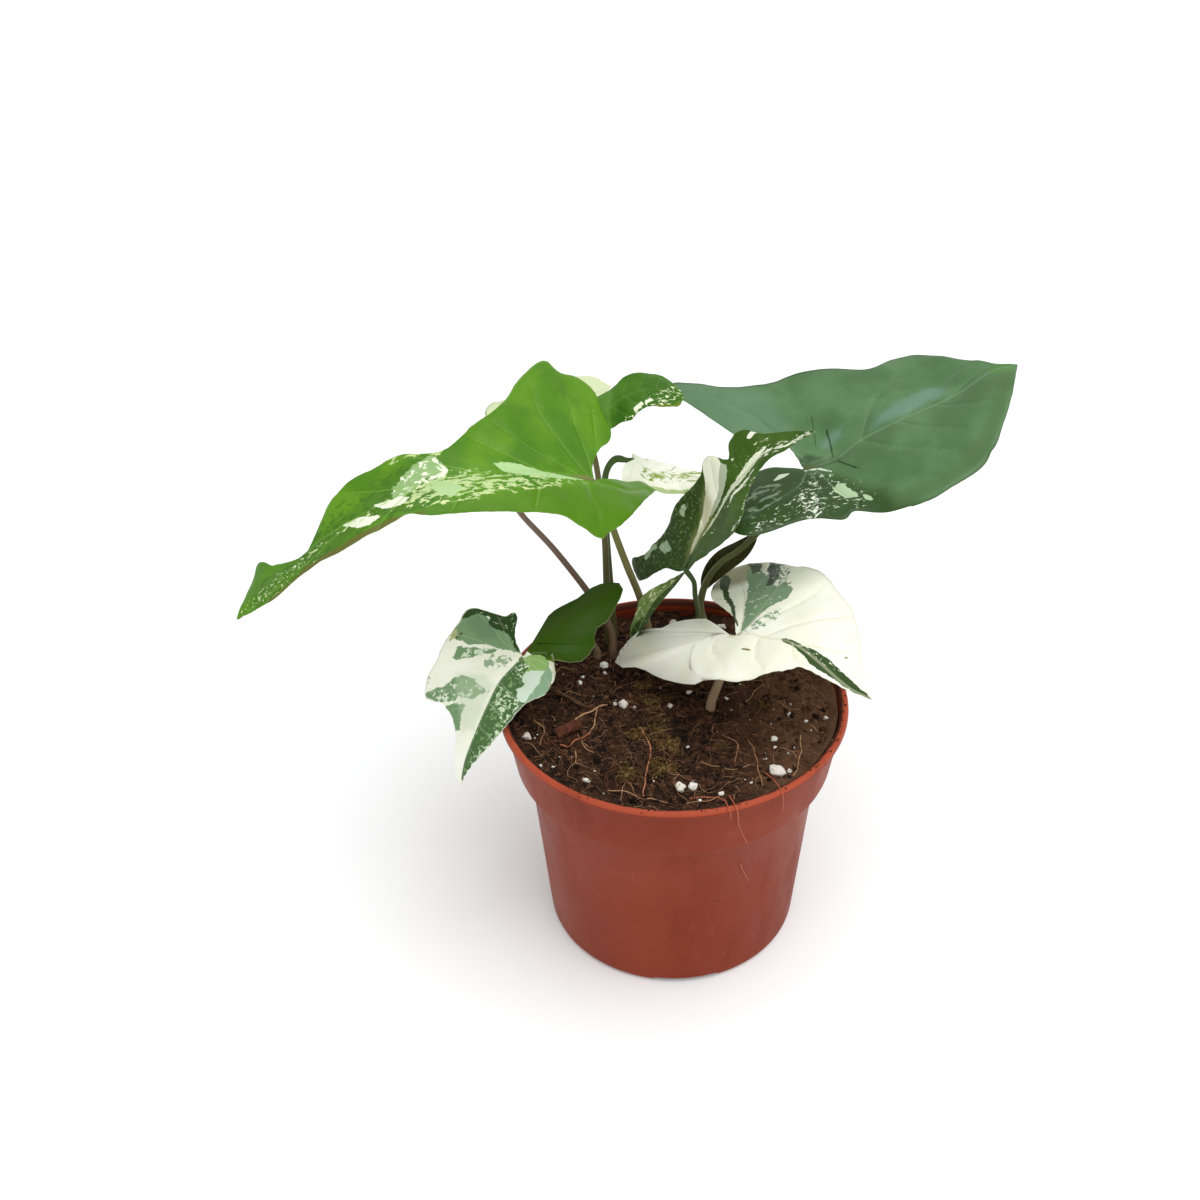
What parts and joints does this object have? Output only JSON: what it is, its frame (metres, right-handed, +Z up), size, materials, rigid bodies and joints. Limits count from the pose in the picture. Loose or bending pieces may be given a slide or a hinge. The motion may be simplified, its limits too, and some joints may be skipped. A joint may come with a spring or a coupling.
{
  "type": "arrowhead plant",
  "caption": "Variegated arrowhead plant (Syngonium podophyllum) rooted in potting mix in a plain terracotta-coloured plastic nursery pot.",
  "frame": {"origin": "centre of the pot's flat underside", "axes": "+Z up along the pot's axis, +X to the plant's right-hand side as seen from its front, -Y towards the front"},
  "size_m": [0.2582, 0.1498, 0.199],
  "materials": {
    "pot_plastic": "thin moulded terracotta-coloured plastic, slightly satin, soil specks",
    "potting_mix": null,
    "bark": "rough bark",
    "leaf_lime": null,
    "leaf_dark": null,
    "leaf_cream": null,
    "leaf_variegated": null,
    "stalk": null,
    "stalk_beige": null
  },
  "bodies": {
    "root": {"pot": "pot_plastic", "potting_mix": "potting_mix", "bark_chip": "bark", "old_stick": "bark", "leaf_lime_left": "leaf_lime", "leaf_dark_right": "leaf_dark", "leaf_hump_back": "leaf_lime", "leaf_pale_back": "leaf_cream", "leaf_white_middle": "leaf_cream", "leaf_variegated_middle": "leaf_variegated", "leaf_cream_front": "leaf_cream", "leaf_variegated_front": "leaf_variegated", "leaf_young_spear": "leaf_lime", "stalk_lime_left": "stalk", "stalk_dark_right": "stalk", "stalk_hump_back": "stalk", "stalk_pale_back": "stalk", "stalk_white_middle": "stalk", "stalk_variegated_middle": "stalk", "stalk_cream_front": "stalk_beige", "stalk_variegated_front": "stalk", "stalk_young_spear": "stalk"}
  },
  "joints": []
}
